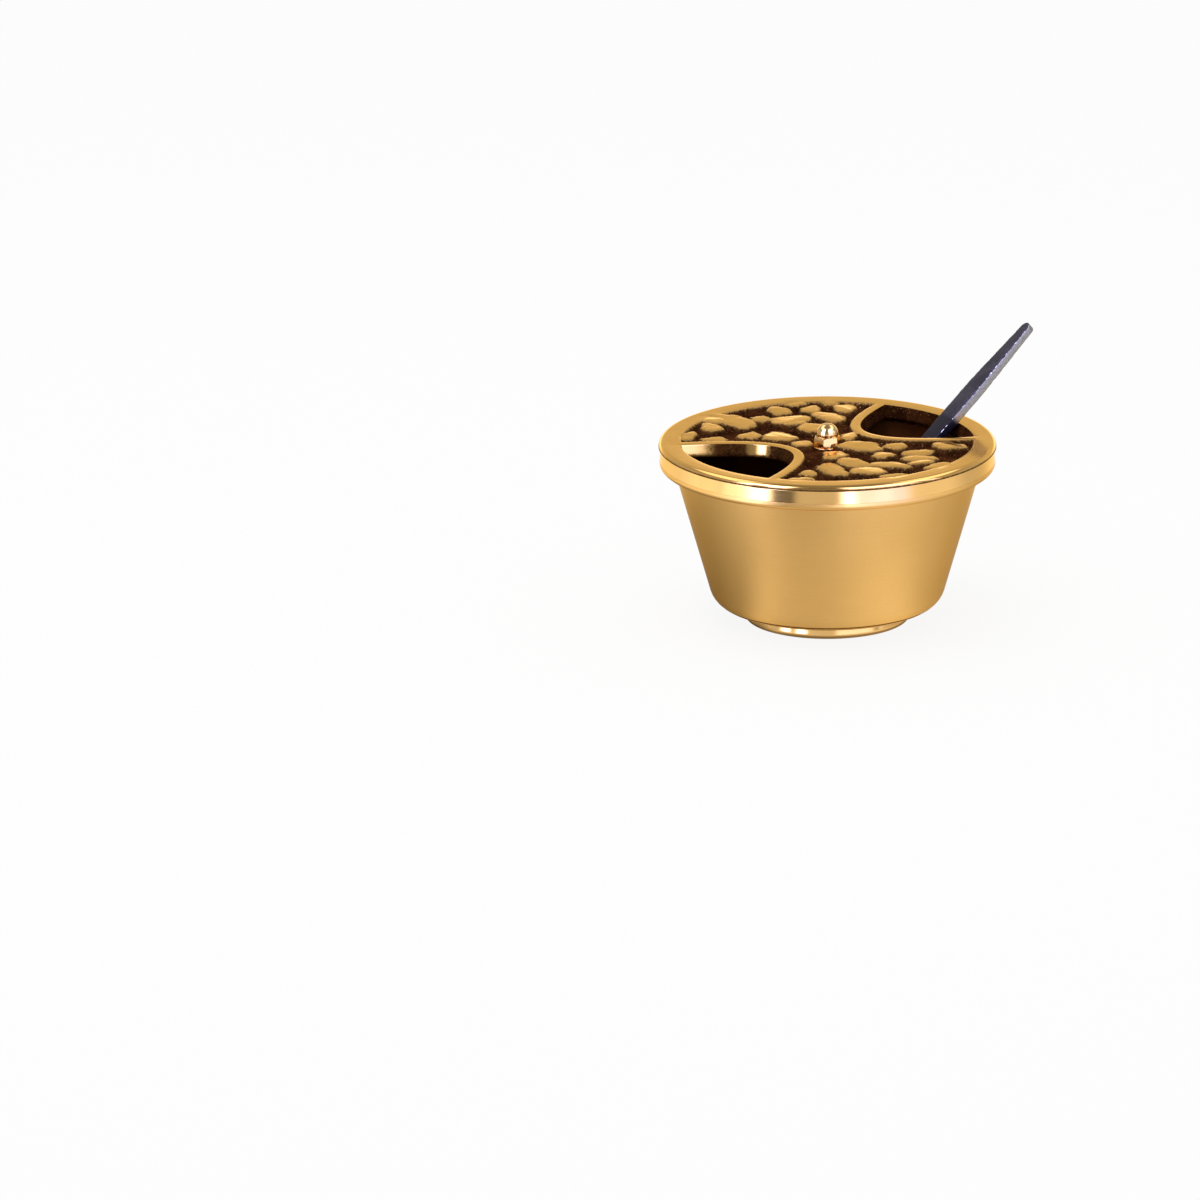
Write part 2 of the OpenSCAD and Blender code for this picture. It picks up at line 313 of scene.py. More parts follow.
# Rim band: a turned and polished brass ring soldered on the flange. It leans in a little towards its
# top, holds the lid's plug, and leaves a fine line where it meets the flange.
band_low, band_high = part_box("rim_band")
band_z, band_top, band_inside = band_low.z / mm, band_high.z / mm, flange_r - 2.7
band = turn("polished_band", rounded([
    (band_inside, band_z, 0.15), (flange_r, band_z, 0.05), (flange_r - 0.4, band_top + 0.22, 0.2),
    (band_inside, band_top + 0.22, 0.25)]), bright_brass, steps=256)
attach(band, "bowl")
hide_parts("rim_band")

# Lid: a brass casting with a flat ring round its edge, two openings with flat borders, and between
# them a sunk field of nuggets. The tops are ground satin, and the field is browned by a patina.
lid_low, lid_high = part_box("lid_casting")
lid_r, lid_top, plug_low = lid_high.y / mm, lid_high.z / mm, lid_low.z / mm
seat_z, lid_round = lid_top - 1.7, 1.6
plug_r, hole_r = 47.6, 2.15
field_r, relief_d, hub_r = lid_r - 6.8, 2.2, 5.1
opening_turn, opening_start, opening_half_w = math.radians(36.5), 15.9, 22.0
border_w, bevel, mouth_drop = 3.4, 0.45, 0.25
bend = (math.sqrt(field_r ** 2 - opening_half_w ** 2) - opening_start) / opening_half_w ** 2
# Each nugget: its share of the field's radius, direction, length and width in mm, and turn.
nuggets = [
    (0.85, 113, 7, 6, 95), (0.82, 98, 6.5, 5.5, 80), (0.86, 82, 8.5, 6.5, 85), (0.98, 103, 5, 3, 15),
    (0.98, 89, 4, 3, 0), (0.63, 89, 13, 6.5, -45), (0.6, 115, 12.5, 9, 0), (0.73, 129, 5.5, 4, 10),
    (0.83, 141, 17, 8, -55), (0.98, 145, 11, 7, -40), (0.87, 156, 7.5, 6, 100), (0.96, 172, 7, 3.5, 80),
    (0.36, 105, 9, 8, 60), (0.35, 159, 11.5, 7.5, -45), (0.55, 165, 6.5, 5, -30), (0.77, 177, 7, 3.5, 0),
    (0.17, 197, 6, 6, 0), (0.2, 42, 8, 4, 75), (0.25, 333, 12, 9, -10), (0.48, 346, 6, 5, 20),
    (0.84, 353, 9.5, 7, 10), (0.51, 318, 7, 4.5, 40), (0.68, 335, 9, 4.5, 0), (0.75, 326, 9.5, 4.5, 5),
    (0.82, 321, 6.5, 4, 15), (0.97, 321, 8, 4.5, 45), (0.56, 288, 9.5, 7, -30), (0.72, 306, 12, 4.5, -15),
    (0.78, 291, 10.5, 7, 20), (0.7, 273, 14, 5, -65), (0.81, 261, 5, 3.5, 80), (0.34, 278, 9, 6, 60),
    (0.96, 259, 6, 3, -10), (0.97, 297, 7, 3, 25)]


def edge_point(across, out):
    """A point on an opening's curved edge, in the opening's own directions, moved out by a distance."""
    slope = 2 * bend * across
    size = np.sqrt(1 + slope ** 2)
    return np.stack([opening_start + bend * across ** 2 - out / size, across + out * slope / size], -1)


def opening_outline(out, side):
    """An opening's outline moved out by a distance: the curved edge from tip to tip, then the ring."""
    low, high = 12.0, 30.0
    for _ in range(60):
        tip = (low + high) / 2
        low, high = (tip, high) if np.hypot(*edge_point(tip, out)) < field_r + out else (low, tip)
    curved = edge_point(tip * np.linspace(-1, 1, 141), out)
    end = math.atan2(curved[-1, 1], curved[-1, 0])
    along = np.linspace(end, -end, 121)[1:-1]
    arc = (field_r + out) * np.stack([np.cos(along), np.sin(along)], -1)
    return turned_by(np.concatenate([curved, arc]), opening_turn + side)


def turned_by(points, angle):
    c, s = math.cos(angle), math.sin(angle)
    return points @ np.array([[c, s], [-s, c]])


def edge_distance(points, side):
    """How far each point lies outside an opening's curved edge, negative inside."""
    own = turned_by(points, -opening_turn - side)
    line = edge_point(np.linspace(-27, 27, 241), 0.0)
    away = np.full(len(own), 1e9)
    for a in line:
        away = np.minimum(away, np.hypot(*(own - a).T))
    return np.where(own[:, 0] > opening_start + bend * own[:, 1] ** 2, -away, away)


def in_opening(points, out):
    inside = np.zeros(len(points), bool)
    for side in (0, math.pi):
        own = turned_by(points, -opening_turn - side)
        within = (np.hypot(*points.T) < field_r + out) & (own[:, 0] > 0)
        inside |= within & (edge_distance(points, side) < out)
    return inside


def ripple(points, size, height=0.0):
    return np.array([noise.noise(Vector((x / size, y / size, height))) for x, y in points])


def relief(points):
    """Height of the casting's top, and how far it is ground bright: ring, borders and nuggets flow
    into each other over the sunk field, each nugget with a top that tilts its own way."""
    radius = np.hypot(*points.T)
    soft, grown = 0.22, 1.0
    flat = np.exp(np.clip((radius - field_r + 0.3) / soft, -60, 40))
    for side in (0, math.pi):
        flat += np.exp(np.clip((border_w + 0.3 - edge_distance(points, side)) / soft, -60, 40))
    mouth = np.full(len(points), 1e9)
    for side in (0, math.pi):
        own = turned_by(points, -opening_turn - side)[:, 0]
        mouth = np.where(own > 0, np.maximum(edge_distance(points, side), radius - field_r), mouth)
    lumps, tilts = np.zeros(len(points)), np.zeros(len(points))
    for i, (share, direction, length, width, turn_by) in enumerate(nuggets):
        towards = math.radians(direction)
        away = points - share * field_r * np.array([math.cos(towards), math.sin(towards)])
        u, v = turned_by(away, -math.radians(turn_by)).T
        a = np.degrees(np.arctan2(v / width, u / length))
        lump = (1 + 0.1 * np.sin(np.radians(2 * a + 47 * i)) + 0.08 * np.sin(np.radians(3 * a + 113 * i))
                + 0.05 * np.sin(np.radians(5 * a + 71 * i)))
        level = np.hypot(2 * u / length, 2 * v / width)
        slope = np.hypot(4 * u / length ** 2, 4 * v / width ** 2) / np.maximum(level, 1e-6)
        inside = (1 - level / lump) / np.maximum(slope, 2 / max(length, width)) + grown
        weight = np.exp(np.clip(inside / soft, -60, 40))
        lumps += weight
        tilts += weight * (away @ [0.06 * math.sin(2.4 * i), 0.07 * math.cos(1.7 * i)])
    hub = np.clip((radius - hub_r) / 0.7, 0, 1)
    own = lumps * hub / (flat + lumps * hub + 1e-20)
    depth = soft * np.log(flat + lumps * hub + 1e-20)
    ragged = 0.6 * ripple(points, 2.6, 3.0) + 0.4 * ripple(points, 1.0, 7.0)
    depth += ragged * np.clip((field_r - radius) / 0.8, 0, 1) * (0.2 + 0.8 * own)
    t = np.clip((depth + 0.75) / 1.2, 0, 1)
    rise = t * t * (3 - 2 * t)
    grain = 0.2 * (1 - rise) * hub * (ripple(points, 1.3, 11.0) + 0.5 * ripple(points, 0.6, 19.0) + 0.6)
    within = np.maximum(depth - 0.3, 0)
    crown = 0.26 * np.exp(-within) + 0.12 * np.clip(ripple(points, 4.0, 17.0), 0, 1)
    tilt = np.clip(tilts / np.maximum(lumps, 1e-20), -0.3, 0.3) - 0.1
    soft_edge = 0.17 * np.exp(-within / 1.2) + mouth_drop * np.exp(-np.maximum(mouth - bevel, 0) / 1.5)
    top = rise * (own * (np.minimum(tilt, 0.0) - crown) - (1 - own) * soft_edge)
    bright = own * np.interp(depth, [-0.4, 0.22, 0.5, 1.6], [0, 0.06, 0.55, 1])
    bright += (1 - own) * np.interp(depth, [-0.4, 0.25, 0.45], [0, 0.06, 1])
    return lid_top - relief_d * (1 - rise) + grain + top, bright


def cast_lid():
    """The whole casting as one closed mesh: its top over a fine grid, and its edges as rows of points
    round each outline."""
    def ring(radius, count):
        along = np.linspace(0, 2 * math.pi, count, endpoint=False)
        return radius * np.stack([np.cos(along), np.sin(along)], -1)

    sides = (0, math.pi)
    loops = [ring(lid_r - lid_round, 360), ring(hole_r, 48)]
    loops += [opening_outline(bevel, side) for side in sides]
    pitch = 0.36
    rows = np.arange(-field_r, field_r, pitch * math.sqrt(3) / 2)
    columns = np.arange(-field_r - 1, field_r + 1, pitch)
    grid = np.array([(x + (k % 2) * pitch / 2, y) for k, y in enumerate(rows) for x in columns])
    radius = np.hypot(*grid.T)
    grid = grid[(radius < field_r - 0.15) & (radius > hole_r + 0.4) & ~in_opening(grid, bevel + 0.55)]
    extra = [ring(field_r + step, 480) for step in (0.05, 0.35, 0.8)]
    extra += [ring(field_r + 3, 240), ring(lid_r - lid_round - 0.15, 360)]
    extra += [opening_outline(bevel + 0.25, side) for side in sides]
    extra = np.concatenate(extra)
    grid = np.concatenate([grid, extra[~in_opening(extra, bevel + 0.2)]])

    def mesh_flat(loops, free):
        """Triangles between the loops and free points: points, faces, and each loop's point numbers."""
        points = np.concatenate(loops + [free])
        edges, first = [], 0
        for loop in loops:
            edges += [(first + k, first + (k + 1) % len(loop)) for k in range(len(loop))]
            first += len(loop)
        found = geometry.delaunay_2d_cdt([Vector(p) for p in points], edges, [], 0, 1e-7)
        flat = np.array([tuple(p) for p in found[0]])
        faces = np.array(found[2])
        middle = flat[faces].mean(1)
        outer = np.hypot(*loops[0][0])
        keep = ~in_opening(middle, loop_out) & (np.hypot(*middle.T) > hole_r * 0.999)
        keep &= np.hypot(*middle.T) < outer
        number = {}
        for k, sources in enumerate(found[3]):
            for source in sources:
                number[source] = k
        numbers, first = [], 0
        for loop in loops:
            numbers.append([number[first + k] for k in range(len(loop))])
            first += len(loop)
        return flat, faces[keep].tolist(), numbers

    loop_out = bevel
    flat, faces, (rim, hole, *mouths) = mesh_flat(loops, grid)
    heights, bright = relief(flat)
    heights[hole] = lid_top - relief_d
    vertices, ground = [(x, y, z) for (x, y), z in zip(flat, heights)], list(bright)
    on_top = len(vertices)

    def skirt(row, steps):
        """Rows of points below a row, each joined to the last: a bevel, a wall or an edge."""
        for points, height, bright in steps:
            first = len(vertices)
            vertices.extend((x, y, height) for x, y in points)
            ground.extend(np.broadcast_to(bright, len(points)).tolist())
            below = list(range(first, len(vertices)))
            faces.extend((row[k - 1], row[k], below[k], below[k - 1]) for k in range(len(row)))
            row = below
        return row

    edge = rounded([
        (lid_r - 3, lid_top, 0), (lid_r, lid_top, lid_round), (lid_r, seat_z, 0.25),
        (plug_r, seat_z, 0.1), (plug_r, plug_low, 0.3), (plug_r - 4, plug_low, 0)])[4:-5]
    # Painted shade: low on the lid's edge, in the seam between the lid and the band, it is painted brown.
    under_rim = skirt(rim, [(ring(p.x, 360), p.y, 1 if p.y > seat_z + 0.5 else 0.15) for p in edge])
    under_hole = skirt(hole, [(ring(hole_r, 48), plug_low, 1)])
    # The openings' walls slope in as cast. They are dark patina but for two gold patches, placed where
    # highlights fall: painted highlights.
    highlight_spots = np.full(260, 0.03)
    highlight_spots[:141] = np.interp(np.linspace(-1, 1, 141), [-0.86, -0.77, -0.53, -0.48, -0.3, -0.24],
                           [1, 0.03, 0.03, 1, 1, 0.03])
    wall = []
    for inwards, down in ((0.08, 0.03), (0.16, 0.1), (0.22, 0.22), (0.3, 0.5), (0.6, 1.5), (0.9, 2.5),
                          (1.15, 3.35)):
        wall.append((bevel - inwards, -mouth_drop - down, np.clip(3.2 - 0.9 * down, 0, 1) * highlight_spots))
    out, foot_of_wall = wall[-1][0], plug_low - lid_top
    wall += [(out, foot_of_wall + 0.3, 0), (out + 0.1, foot_of_wall + 0.1, 0), (out + 0.3, foot_of_wall, 0)]
    under_mouths = []
    for mouth, side in zip(mouths, sides):
        # The painted highlight patches are kept on the left opening's wall only.
        spot_strength = 1.0 if side else 0.08
        under_mouths.append(skirt(mouth, [
            (opening_outline(out, side), lid_top + down, bright * spot_strength) for out, down, bright in wall]))

    loop_out = wall[-1][0]
    below = [ring(edge[-1].x, 360), ring(hole_r, 48)] + [opening_outline(loop_out, side) for side in sides]
    flat, under, numbers = mesh_flat(below, np.zeros((0, 2)))
    same = {}
    for loop, row in zip(numbers, [under_rim, under_hole] + under_mouths):
        same.update(zip(loop, row))
    faces.extend([same[k] for k in face] for face in under)
    mesh = bpy.data.meshes.new("cast_lid")
    mesh.from_pydata([tuple(c * mm for c in v) for v in vertices], [], faces)
    # Gold share: ground bright on the tops, and with the painted highlights and painted seam shade of the
    # edges.
    mesh.attributes.new("ground_bright", "FLOAT", "POINT").data.foreach_set("value", ground)
    polished = [0.0] * on_top + [1.0] * (len(vertices) - on_top)
    mesh.attributes.new("polished", "FLOAT", "POINT").data.foreach_set("value", polished)
    mesh.polygons.foreach_set("use_smooth", [True] * len(mesh.polygons))
    return mesh


def cast_brass():
    material, shader, place = new_finish(
        "cast_brass", Specular_Tint=(1.0, 0.78, 0.48, 1), Specular_IOR_Level=0.0)
    grit = place.speckle(1300, 3.0, 0.65)
    cloud = place.speckle(170, 3.0)
    lines = lathe_lines(place, 4200)
    # Gold share, partly painted light: painted highlight patches and painted shade in the seam.
    ground = place.node("ShaderNodeAttribute", attribute_name="ground_bright", out="Fac")
    fleck = 0.6 * place.speckle(2600, 1.0).rise(0.7, 0.76)
    share = place.maths("MAXIMUM", ground + 5.0 * (grit - 0.5) * ground * (1 - ground), fleck)
    plain = ground.rise(0.97, 1.0)
    share = place.maths("MAXIMUM", share, plain)
    gold = (0.5 * cloud + 0.5 * lines).rise(0.3, 0.7).blend((0.76, 0.43, 0.13), (0.84, 0.5, 0.16))
    brown = (0.55 * cloud + 0.45 * grit).rise(0.35, 0.7).blend((0.02, 0.005, 0.002), (0.085, 0.026, 0.009))
    rim = place.node("ShaderNodeAttribute", attribute_name="polished", out="Fac")
    feed(shader, "Base Color", share.blend(brown, gold))
    feed(shader, "Metallic", share)
    feed(shader, "Roughness", (0.46 - 0.26 * share - 0.08 * plain) * (1 - rim) + 0.09 * rim + 0.04 * grit)
    rough = (grit * (1 - 0.8 * plain) + 0.25 * lines) * (1 - rim)
    feed(shader, "Normal", place.bump(0.25, 0.0001, rough))
    return material


lid = add_piece("cast_lid", cast_lid())
outwards(lid)
lid.data.materials.append(cast_brass())
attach(lid, "lid")
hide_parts("lid_casting")

# Cap nut, washer and screw: an acorn nut and a plain washer, polished and of a paler brass, hold a
# pan-head screw that comes up through the middle of the lid, so that the lid has a small knob.
nut_low, nut_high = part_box("cap_nut")
washer_low, washer_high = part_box("lid_washer")
screw_low, screw_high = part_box("lid_screw")
nut_z, nut_top, nut_turn = nut_low.z / mm, nut_high.z / mm, math.radians(14.5)
nut_half, nut_hex_h, nut_dome_r = 3.95, 3.0, 3.45
pale_brass = polished_brass("pale_brass", (0.86, 0.58, 0.27), (0.81, 0.52, 0.22))
washer_r, washer_top = washer_high.y / mm, washer_high.z / mm
screw_head_r, screw_z, screw_head_h = screw_high.y / mm, screw_low.z / mm, plug_low - screw_low.z / mm
washer = turn("nut_washer", rounded([
    (hole_r, washer_low.z / mm, 0.05), (washer_r, washer_low.z / mm, 0.1), (washer_r, washer_top, 0.18),
    (hole_r, washer_top, 0.05)]), pale_brass, steps=96)


def rows_of_faces(rows, around):
    """Faces between rows of points that each close on themselves."""
    return [(k * around + i, k * around + (i + 1) % around,
             (k + 1) * around + (i + 1) % around, (k + 1) * around + i)
            for k in range(rows - 1) for i in range(around)]


def acorn_nut():
    """Rows round the axis: the hexagon cut back by a cone at both ends, then the dome."""
    around = 144
    along = [2 * math.pi * k / around for k in range(around)]
    flat = [nut_half / math.cos((a - nut_turn) % (math.pi / 3) - math.pi / 6) for a in along]
    rows = []
    for height in [0, 0.12, 0.24, 0.36, 0.5, 0.8, 1.5, 2.1, 2.3, 2.45, 2.6, 2.72, 2.84, 2.94, nut_hex_h]:
        cone = nut_half * 0.99 + 1.6 * min(height, nut_hex_h - height)
        rows.append([(min(r, cone) * (1 - 0.045 * height), height) for r in flat])
    rows.append([(nut_dome_r + 0.12, nut_hex_h + 0.02)] * around)
    rows.append([(nut_dome_r, nut_hex_h + 0.14)] * around)
    dome_z = nut_top - nut_z - nut_dome_r
    for lift in np.radians(np.arange(0, 90, 5)):
        rows.append([(nut_dome_r * math.cos(lift), dome_z + nut_dome_r * math.sin(lift))] * around)
    points = [(r * math.cos(a) * mm, r * math.sin(a) * mm, (nut_z + h) * mm)
              for row in rows for a, (r, h) in zip(along, row)]
    faces = rows_of_faces(len(rows), around)
    points.append((0, 0, nut_top * mm))
    last = (len(rows) - 1) * around
    faces += [(last + i, last + (i + 1) % around, len(points) - 1) for i in range(around)]
    faces.append(tuple(reversed(range(around))))
    mesh = bpy.data.meshes.new("acorn_nut")
    mesh.from_pydata(points, [], faces)
    mesh.polygons.foreach_set("use_smooth", [True] * len(mesh.polygons))
    mesh.set_sharp_from_angle(angle=math.radians(22))
    return mesh


nut = add_piece("acorn_nut", acorn_nut())
outwards(nut)
nut.data.materials.append(pale_brass)
screw = turn("pan_screw", rounded([
    (0, screw_z, 0), (screw_head_r, screw_z, 1.1), (screw_head_r, plug_low, 0.15), (2.0, plug_low, 0.1),
    (2.0, screw_high.z / mm, 0.3), (0, screw_high.z / mm, 0)])[:-2], pale_brass, closed=False, steps=96)
for piece, node in ((washer, "lid_washer"), (nut, "cap_nut"), (screw, "lid_screw")):
    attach(piece, "lid")
    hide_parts(node)

# Spoon dish: a small brass dish, pressed from sheet with its tang. The tang lies on the end of the
# handle, and the spoon leans on the edge of the lid's right opening.
spoon_axis = Vector(next(joint["axis"] for joint in frame["joints"] if joint["name"] == "spoon_pull"))
spoon_turn, spoon_tilt = math.atan2(spoon_axis.y, spoon_axis.x), math.asin(spoon_axis.z)
lean_gap, floor_gap = 0.4, 0.3
spoon_place = Matrix.Rotation(spoon_turn, 4, "Z") @ Matrix.Translation((field_r * mm, 0, lid_top * mm))
spoon_place = spoon_place @ Matrix.Rotation(-spoon_tilt, 4, "Y")
spoon_place = spoon_place @ Matrix.Translation((0, 0, lean_gap * mm)) @ Matrix.Scale(mm, 4)
dish_r, dish_d, dish_t, dish_gap = 8.2, 4.6, 1.0, 0.8
tang_w, tang_t, tang_l, handle_t = 5.0, 1.1, 14.0, 2.7
dish_ball = (dish_r ** 2 + dish_d ** 2) / (2 * dish_d)
dish_rise = floor_z + floor_gap + dish_ball - lid_top
dish_x = (dish_rise - (lean_gap + dish_ball) * math.cos(spoon_tilt)) / math.sin(spoon_tilt)
handle_low = dish_x + dish_r + dish_gap


def place_in_boat(piece, x):
    piece.data.transform(spoon_place @ Matrix.Translation((x, 0, 0)) @ Matrix.Scale(1 / mm, 4))


def cap_arc(ball, low, high, rising):
    """Part of a ball's outline, from the axis out to a height, or back."""
    steps = np.linspace(0, math.acos(1 - (high - low) / ball), 21)
    arc = [Vector((ball * math.sin(t), low + ball * (1 - math.cos(t)))) for t in steps]
    return arc if rising else arc[::-1]


def bar(name, stations, corner, dents):
    """A strip through (x, half width, underside, thickness) stations, with corners that a hammer has
    rounded unevenly. Its attribute tells the narrow sides and the underside from the upper face."""
    points, sides = [], []
    for x, half, low, thick in stations:
        for across, up, start in ((1, 1, 0), (-1, 1, 90), (-1, -1, 180), (1, -1, 270)):
            struck = abs(noise.noise(Vector((x / 0.9, 9.0 * across, 5.0 * up))))
            struck += 0.5 * abs(noise.noise(Vector((x / 2.6, 3.0 * across, up))))
            r = min(corner + dents * struck, half * 0.9, thick * 0.45)
            y, z = across * (half - r), low + thick / 2 + up * (thick / 2 - r)
            for k in range(6):
                turned = math.radians(start + 18 * k)
                points.append((x, y + r * math.cos(turned), z + r * math.sin(turned)))
                sides.append(1.0 if math.sin(turned) < -0.7 else math.cos(turned) ** 2)
    count = 24
    faces = rows_of_faces(len(stations), count)
    faces += [tuple(range(count)), tuple(range(len(points) - count, len(points)))]
    mesh = bpy.data.meshes.new(name)
    mesh.from_pydata([spoon_place @ Vector(p) for p in points], [], faces)
    mesh.attributes.new("narrow_side", "FLOAT", "POINT").data.foreach_set("value", sides)
    mesh.polygons.foreach_set("use_smooth", [True] * len(mesh.polygons))
    piece = add_piece(name, mesh)
    outwards(piece)
    return piece


dish_brass = satin_brass("dish_brass", False)
dish_outline = cap_arc(dish_ball, 0, dish_d - 0.15, True)
dish_outline += cap_arc(dish_ball - dish_t, dish_t, dish_d - 0.15, False)
dish = turn("dish", dish_outline, dish_brass, closed=False, steps=96)
place_in_boat(dish, dish_x)
tang_along = np.linspace(dish_x + dish_r - 1.9, handle_low + tang_l, 40)
tang = bar("tang", [(float(x), tang_w / 2, handle_t, tang_t) for x in tang_along], 0.3, 0.05)
tang.data.materials.append(dish_brass)
form = bmesh.new()
form.from_mesh(dish.data)
form.from_mesh(tang.data)
form.to_mesh(dish.data)
form.free()
bpy.data.objects.remove(tang)
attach(dish, "spoon")
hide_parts("spoon_dish")

# Spoon handle: a flat steel strip, forged with hammered edges and blackened blue by heat. Its narrow
# sides and underside are painted paler as painted light, down to where it leans on the lid; below, it is
# painted near black as painted shade in the opening. Painted glints run along its edges. It tapers to a
# round end.
handle_w, handle_end_w, handle_end_t = 7.1, 3.9, 2.4
handle_end, handle_taper = 37.5, 25.0


def handle_station(x):
    past = x - (handle_end - handle_end_w / 2)
    share = max(0.0, x - (handle_end - handle_taper)) / handle_taper
    narrowed = min(1.0, share * handle_taper / (handle_taper - handle_end_w / 2))
    half = handle_w / 2 + (handle_end_w - handle_w) / 2 * narrowed
    if past > 0:
        half = math.sqrt(max((handle_end_w / 2) ** 2 - past ** 2, 0.01))
    return x, half, 0.0, handle_t + (handle_end_t - handle_t) * share


lean_at = (spoon_place @ Vector((0, 0, 0))).dot(spoon_axis)


def blackened_steel():
    material, shader, place = new_finish("blackened_steel", Metallic=0.85)
    side = place.node("ShaderNodeAttribute", attribute_name="narrow_side", out="Fac")
    grit = place.speckle(1100, 4.0, 0.7)
    cloud = place.speckle(180, 3.0)
    along = place.node("ShaderNodeVectorMath", {0: place, 1: spoon_axis}, out="Value",
                       operation="DOT_PRODUCT")
    # Painted shade below where the handle leans on the lid; above it the sides are painted paler as painted
    # light.
    out_of_shade = along.rise(lean_at - 0.0015, lean_at + 0.001)
    painted_lit_side = (side + 1.1 * (grit - 0.5)).rise(0.42, 0.62) * out_of_shade
    blue = (0.5 * cloud + 0.5 * grit).rise(0.35, 0.7).blend((0.034, 0.029, 0.046), (0.08, 0.067, 0.09))
    lit_side_slate = grit.rise(0.3, 0.7).blend((0.24, 0.22, 0.2), (0.36, 0.33, 0.29))
    # Painted glints: near-white specks along the edge between the face and the sides.
    highlight_spots = side.between(0.25, 0.65, 0.1) * place.speckle(900, 1.0).rise(0.54, 0.62)
    face_with_painted_shade = out_of_shade.blend((0.02, 0.015, 0.025), blue)
    feed(shader, "Base Color", highlight_spots.blend(painted_lit_side.blend(face_with_painted_shade, lit_side_slate), (0.85, 0.82, 0.85)))
    feed(shader, "Roughness", 0.44 - 0.12 * out_of_shade + 0.14 * grit - 0.12 * highlight_spots)
    feed(shader, "Normal", place.bump(0.4, 0.00025, 0.5 * cloud + 0.5 * grit))
    return material


end_r = handle_end_w / 2
steps = [handle_low + 0.05, handle_low + 0.5, *np.arange(handle_low + 1.0, handle_end - end_r, 0.4)]
steps += [handle_end - end_r * (1 - math.sin(a)) for a in np.radians([6, 16, 27, 38, 50, 62, 74, 84, 89])]
handle = bar("spoon_strip", [handle_station(float(x)) for x in steps], 0.3, 0.6)
handle.data.materials.append(blackened_steel())
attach(handle, "spoon")
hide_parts("spoon_handle")

# Rivets: two brass pins with domed heads on the tang, their other ends closed against the underside
# of the handle.
rivet_h, rivet_r, rivet_head_r, rivet_head_h = handle_t + tang_t, 1.0, 1.7, 0.8
rivet_places = [handle_low + tang_l * 0.28, handle_low + tang_l * 0.72]


def rivet_tree():
    """Sets a rivet on every point."""
    tree, (places, rivet, finish) = new_tree("rivet_row", {
        "Places": "Geometry", "Rivet": "Object", "Finish": "Material"})
    start = Value(tree)
    shape = start.node("GeometryNodeObjectInfo", {"Object": rivet}, out="Geometry")
    row = start.node("GeometryNodeInstanceOnPoints", {"Points": places, "Instance": shape})
    real = start.node("GeometryNodeRealizeInstances", {"Geometry": row})
    done = start.node("GeometryNodeSetMaterial", {"Geometry": real, "Material": finish})
    tree.links.new(done.socket, tree.nodes.new("NodeGroupOutput").inputs["Piece"])
    return tree


head_ball = (rivet_head_r ** 2 + rivet_head_h ** 2) / (2 * rivet_head_h)
head = [Vector((p.x, rivet_h + rivet_head_h - p.y)) for p in cap_arc(head_ball, 0, rivet_head_h, False)]
pin = turn("rivet", [Vector((0, -0.12)), Vector((0.5, -0.11)), Vector((0.9, -0.05)), Vector((1.0, 0.05)),
                     Vector((rivet_r, rivet_h)), *head], bright_brass, closed=False, steps=48)
places = bpy.data.meshes.new("rivets")
places.from_pydata([(x * mm, 0, 0) for x in rivet_places], [], [])
rivets = run_tree(add_piece("rivets", places), rivet_tree(), Rivet=pin, Finish=bright_brass)
place_in_boat(rivets, 0)
bpy.data.objects.remove(pin)
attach(rivets, "spoon")
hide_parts("spoon_rivets")

# Table and light: a white table that runs out of the picture, in a pale room that is dimmer on the
# camera's side but for two tall windows, whose daylight the polished brass shows.
table = bpy.data.meshes.new("table")
table.from_pydata([(-6, -6, 0), (6, -6, 0), (6, 12, 0), (-6, 12, 0)], [], [(0, 1, 2, 3)])
floor = add_piece("table", table)
daylight = (0.85, 0.94, 1.8)


def bearing_of(x, y):
    """Bearing in degrees to the right of the camera's side."""
    return x.maths("ARCTAN2", x, -1 * y) * (180 / math.pi)


def metal_rays(tree):
    """1 for a ray that a shiny surface sends out, and 1 for one from the camera, each 0 for any other."""
    rays = tree.nodes.new("ShaderNodeLightPath").outputs
    glossy, through = Value(tree, rays["Is Glossy Ray"]), Value(tree, rays["Is Transmission Ray"])
    return glossy.maths("MAXIMUM", glossy, through), Value(tree, rays["Is Camera Ray"])


